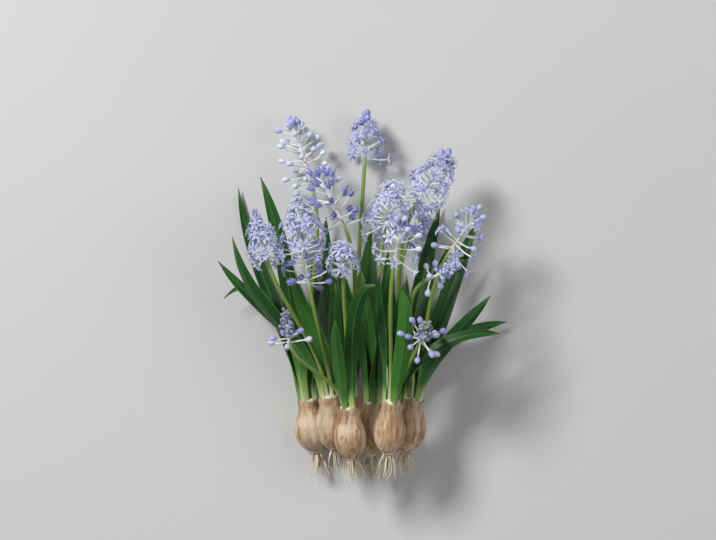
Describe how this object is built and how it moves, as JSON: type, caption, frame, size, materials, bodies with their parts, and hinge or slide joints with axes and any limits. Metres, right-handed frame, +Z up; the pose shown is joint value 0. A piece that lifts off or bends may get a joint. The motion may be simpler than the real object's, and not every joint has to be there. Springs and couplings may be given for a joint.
{
  "type": "meadow squill clump",
  "caption": "Flowering clump of meadow squill lifted with bulbs and roots and laid on its back, with lilac star flowers and strap leaves.",
  "frame": {"origin": "middle of the clump's footprint, on the surface that it lies on", "axes": "+Y along the plants from the roots to the flowers, +Z up from the surface, +X to the right as seen from above with the flowers at the top"},
  "size_m": [0.1706, 0.2254, 0.0973],
  "materials": {
    "flower": "satin",
    "scape": "satin",
    "leaf": "satin",
    "bulb": "satin",
    "root": "matte"
  },
  "bodies": {
    "root": {"bulb_1": "bulb", "roots_1": "root", "bulb_2": "bulb", "roots_2": "root", "bulb_3": "bulb", "roots_3": "root", "bulb_4": "bulb", "roots_4": "root", "bulb_5": "bulb", "roots_5": "root", "bulb_6": "bulb", "roots_6": "root", "bulb_7": "bulb", "roots_7": "root", "bulb_8": "bulb", "roots_8": "root", "flower_stem_1": "flower", "flower_stem_2": "flower", "flower_stem_3": "flower", "flower_stem_4": "flower", "flower_stem_5": "flower", "flower_stem_6": "flower", "flower_stem_7": "flower", "flower_stem_8": "flower", "flower_stem_9": "flower", "flower_stem_10": "flower", "flower_stem_11": "flower", "flower_stem_12": "flower", "flower_stem_13": "flower", "flower_stem_14": "flower", "leaf_1": "leaf", "leaf_2": "leaf", "leaf_3": "leaf", "leaf_4": "leaf", "leaf_5": "leaf", "leaf_6": "leaf", "leaf_7": "leaf", "leaf_8": "leaf", "leaf_9": "leaf", "leaf_10": "leaf", "leaf_11": "leaf", "leaf_12": "leaf", "leaf_13": "leaf", "leaf_14": "leaf", "leaf_15": "leaf", "leaf_16": "leaf", "leaf_17": "leaf", "leaf_18": "leaf", "leaf_19": "leaf", "leaf_20": "leaf", "leaf_21": "leaf", "leaf_22": "leaf", "leaf_23": "leaf", "leaf_24": "leaf", "leaf_25": "leaf", "leaf_26": "leaf", "leaf_27": "leaf", "leaf_28": "leaf", "leaf_29": "leaf", "leaf_30": "leaf"}
  },
  "joints": []
}
